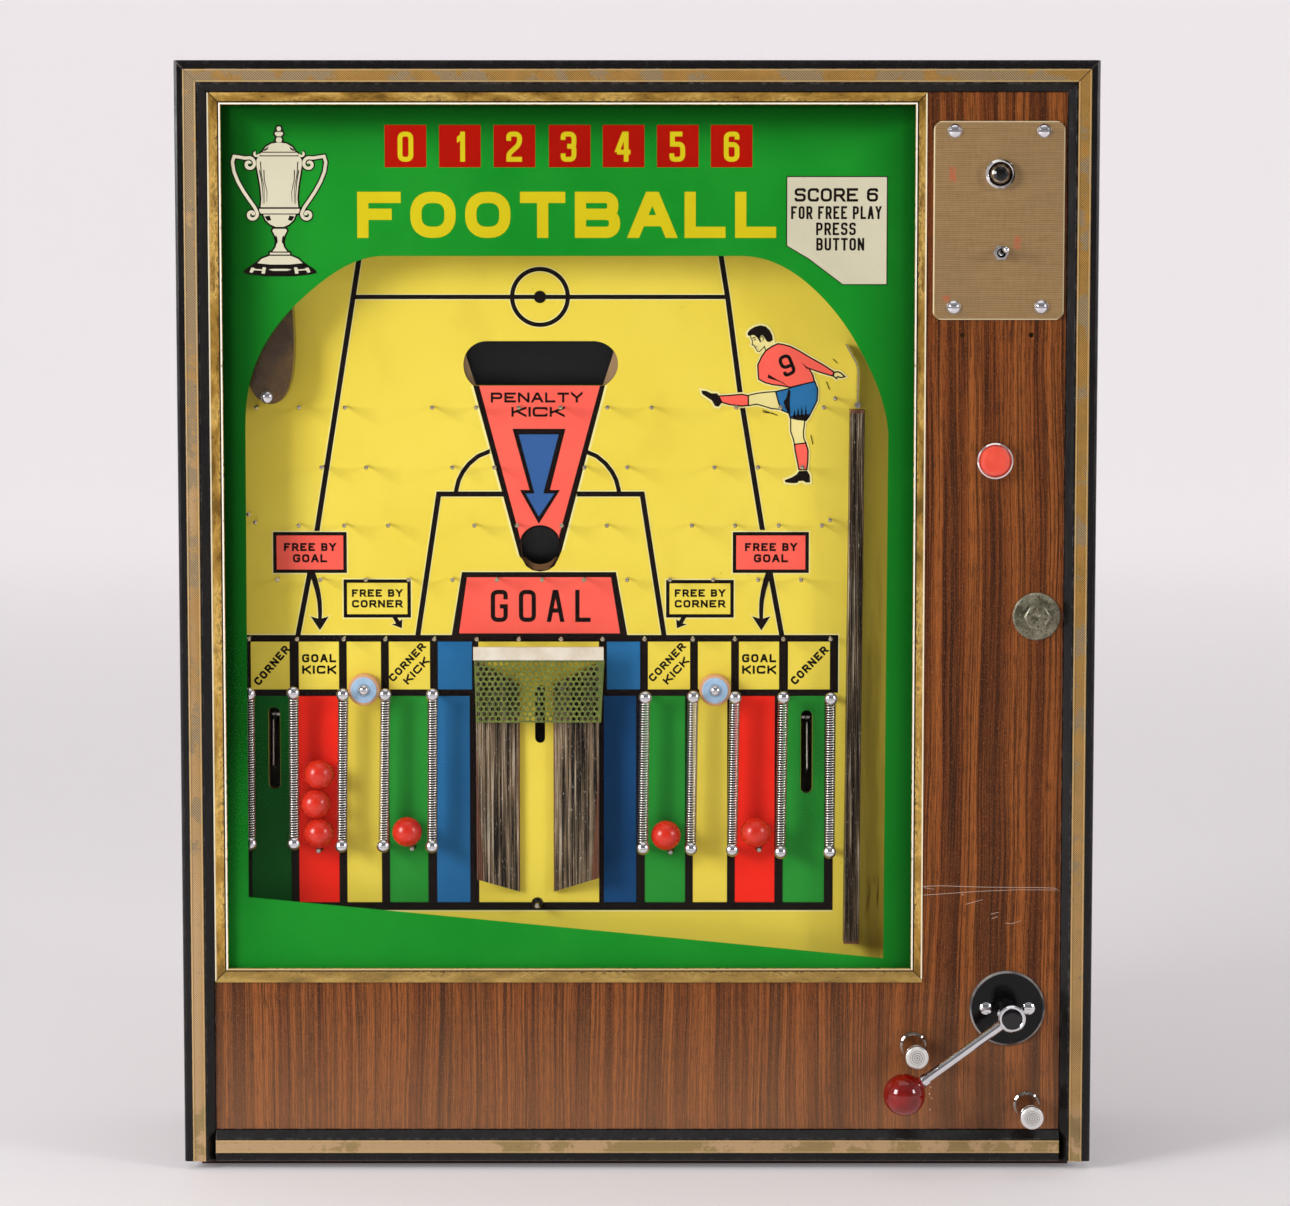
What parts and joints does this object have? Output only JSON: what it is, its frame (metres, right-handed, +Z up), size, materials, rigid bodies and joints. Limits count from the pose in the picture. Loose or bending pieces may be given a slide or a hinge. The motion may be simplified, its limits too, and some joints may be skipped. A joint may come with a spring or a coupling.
{
  "type": "wall pinball machine",
  "caption": "Wall-mounted football pinball machine: hinged glazed front door carrying playfield, lever, buttons and ball release, on a wooden carcase.",
  "frame": {"origin": "centre of the carcase underside, between the frame front and the back board", "axes": "+Z up, +X to the right seen from the front, the glazed front faces -Y"},
  "size_m": [0.673, 0.2615, 0.8193],
  "materials": {
    "arch_rail": "rolled strip",
    "ball_fourth_lane": "glossy red",
    "ball_second_lane": "glossy red",
    "ball_stack": "glossy red",
    "ball_third_lane": "glossy red",
    "black_button_cap": "black",
    "bumpers": "pale blue with a pink rim",
    "cable_gland": "black nylon",
    "case_back": "hardboard-faced ply",
    "case_corner_blocks": "raw timber",
    "case_sides": "dark red-brown stain",
    "case_top_and_floor": "dark red-brown stain",
    "coin_plate": "fabric-laminate sheet",
    "control_bezels": "polished",
    "door_board": "raw timber",
    "frame_gold_inlay": "worn woven gold",
    "frame_rails": "satin black paint",
    "frame_stiles": "satin black paint",
    "gate_leaf": "spring steel",
    "glass_mask": "screen-printed green",
    "goal_blocks": "reeded cladding on wood",
    "goal_crossbar": "white",
    "goal_net": "green perforated sheet",
    "hinge_leaf_case": "plated",
    "hinge_leaf_door": "plated",
    "lamp_box": "raw timber",
    "lane_divider": "reeded, dulled",
    "lane_springs": "bright",
    "lever_arm": "polished",
    "lever_escutcheon": "satin black",
    "lever_hammer": "cast",
    "lever_knob": "red",
    "lever_stops": "polished",
    "lock_bolt": "zinc plated",
    "lock_keeper": "plated",
    "lock_washer": "zinc plated",
    "microswitches": "moulded",
    "panel_laminate": "satin teak laminate",
    "penalty_channel": "timber, dark inside",
    "playfield_battens": "raw timber",
    "playfield_board": "painted",
    "playfield_nails": "polished",
    "rebound_pad": "brown",
    "red_button_cap": "red",
    "release_bar": "bright",
    "release_solenoid": "plated frame, taped coil",
    "return_rail": "raw timber",
    "score_lamps": "clear",
    "score_windows": "translucent red",
    "slot_wire_centre": "spring steel",
    "slot_wire_left": "spring steel",
    "slot_wire_right": "spring steel",
    "slotted_screws": "polished",
    "spring_posts": "polished",
    "toggle_lever": "polished",
    "transformer_core": "laminations",
    "transformer_winding": "varnished copper",
    "window_glass": "polished",
    "window_trim": "aged"
  },
  "bodies": {
    "case": {"case_sides": "case_sides", "case_top_and_floor": "case_top_and_floor", "case_back": "case_back", "case_corner_blocks": "case_corner_blocks", "cable_gland": "cable_gland", "transformer_core": "transformer_core", "transformer_winding": "transformer_winding", "hinge_leaf_case": "hinge_leaf_case", "lock_keeper": "lock_keeper"},
    "door": {"arch_rail": "arch_rail", "bumpers": "bumpers", "coin_plate": "coin_plate", "control_bezels": "control_bezels", "door_board": "door_board", "frame_gold_inlay": "frame_gold_inlay", "frame_rails": "frame_rails", "frame_stiles": "frame_stiles", "glass_mask": "glass_mask", "goal_blocks": "goal_blocks", "goal_crossbar": "goal_crossbar", "goal_net": "goal_net", "hinge_leaf_door": "hinge_leaf_door", "lamp_box": "lamp_box", "lane_divider": "lane_divider", "lane_springs": "lane_springs", "lever_escutcheon": "lever_escutcheon", "lever_stops": "lever_stops", "lock_bolt": "lock_bolt", "lock_washer": "lock_washer", "microswitches": "microswitches", "panel_laminate": "panel_laminate", "penalty_channel": "penalty_channel", "playfield_battens": "playfield_battens", "playfield_board": "playfield_board", "playfield_nails": "playfield_nails", "rebound_pad": "rebound_pad", "release_solenoid": "release_solenoid", "return_rail": "return_rail", "score_lamps": "score_lamps", "score_windows": "score_windows", "slotted_screws": "slotted_screws", "spring_posts": "spring_posts", "window_glass": "window_glass", "window_trim": "window_trim"},
    "lever": {"lever_arm": "lever_arm", "lever_knob": "lever_knob", "lever_hammer": "lever_hammer"},
    "red_button": {"red_button_cap": "red_button_cap"},
    "black_button": {"black_button_cap": "black_button_cap"},
    "toggle": {"toggle_lever": "toggle_lever"},
    "release": {"release_bar": "release_bar"},
    "gate": {"gate_leaf": "gate_leaf"},
    "wire_left": {"slot_wire_left": "slot_wire_left"},
    "wire_right": {"slot_wire_right": "slot_wire_right"},
    "wire_centre": {"slot_wire_centre": "slot_wire_centre"},
    "balls_first_lane": {"ball_stack": "ball_stack"},
    "ball_second": {"ball_second_lane": "ball_second_lane"},
    "ball_third": {"ball_third_lane": "ball_third_lane"},
    "ball_fourth": {"ball_fourth_lane": "ball_fourth_lane"}
  },
  "joints": [
    {"name": "door_hinge", "type": "hinge", "parent": "case", "child": "door", "pos_m": [-0.33, -0.08575, 0.413], "axis": [0, 0, -1], "range_deg": [0, 105]},
    {"name": "lever_pivot", "type": "hinge", "parent": "door", "child": "lever", "pos_m": [0.2746, -0.108, 0.1209], "axis": [0, -1, 0], "range_deg": [0, 55.5], "stiffness_Nm_per_rad": 0.5, "springref_deg": -34.38},
    {"name": "red_button_press", "type": "slide", "parent": "door", "child": "red_button", "axis": [0, 1, 0], "range_m": [0, 0.003], "stiffness_N_per_m": 600, "springref_m": -0.002},
    {"name": "black_button_press", "type": "slide", "parent": "door", "child": "black_button", "axis": [0, 1, 0], "range_m": [0, 0.0025], "stiffness_N_per_m": 600, "springref_m": -0.002},
    {"name": "toggle_throw", "type": "hinge", "parent": "door", "child": "toggle", "pos_m": [0.2652, -0.104, 0.6798], "axis": [0.7071, 0, -0.7071], "range_deg": [0, 24]},
    {"name": "release_slide", "type": "slide", "parent": "door", "child": "release", "axis": [0, 1, 0], "range_m": [0, 0.014], "stiffness_N_per_m": 150, "springref_m": -0.01},
    {"name": "gate_pivot", "type": "hinge", "parent": "door", "child": "gate", "pos_m": [0.1624, -0.074, 0.5676], "axis": [0, -1, 0], "range_deg": [0, 20], "stiffness_Nm_per_rad": 0.02, "springref_deg": -8.59},
    {"name": "wire_left_pivot", "type": "hinge", "parent": "door", "child": "wire_left", "pos_m": [-0.2712, -0.042, 0.3343], "axis": [1, 0, 0], "range_deg": [0, 8], "stiffness_Nm_per_rad": 0.02, "springref_deg": -11.46},
    {"name": "wire_right_pivot", "type": "hinge", "parent": "door", "child": "wire_right", "pos_m": [0.1264, -0.042, 0.332], "axis": [1, 0, 0], "range_deg": [0, 8], "stiffness_Nm_per_rad": 0.02, "springref_deg": -11.46},
    {"name": "wire_centre_pivot", "type": "hinge", "parent": "door", "child": "wire_centre", "pos_m": [-0.0732, -0.042, 0.3523], "axis": [1, 0, 0], "range_deg": [0, 8], "stiffness_Nm_per_rad": 0.02, "springref_deg": -11.46},
    {"name": "ball_stack_roll", "type": "slide", "parent": "door", "child": "balls_first_lane", "axis": [0, 0, 1], "range_m": [0, 0.05]},
    {"name": "ball_second_roll", "type": "slide", "parent": "door", "child": "ball_second", "axis": [0, 0, 1], "range_m": [0, 0.08]},
    {"name": "ball_third_roll", "type": "slide", "parent": "door", "child": "ball_third", "axis": [0, 0, 1], "range_m": [0, 0.08]},
    {"name": "ball_fourth_roll", "type": "slide", "parent": "door", "child": "ball_fourth", "axis": [0, 0, 1], "range_m": [0, 0.08]}
  ]
}
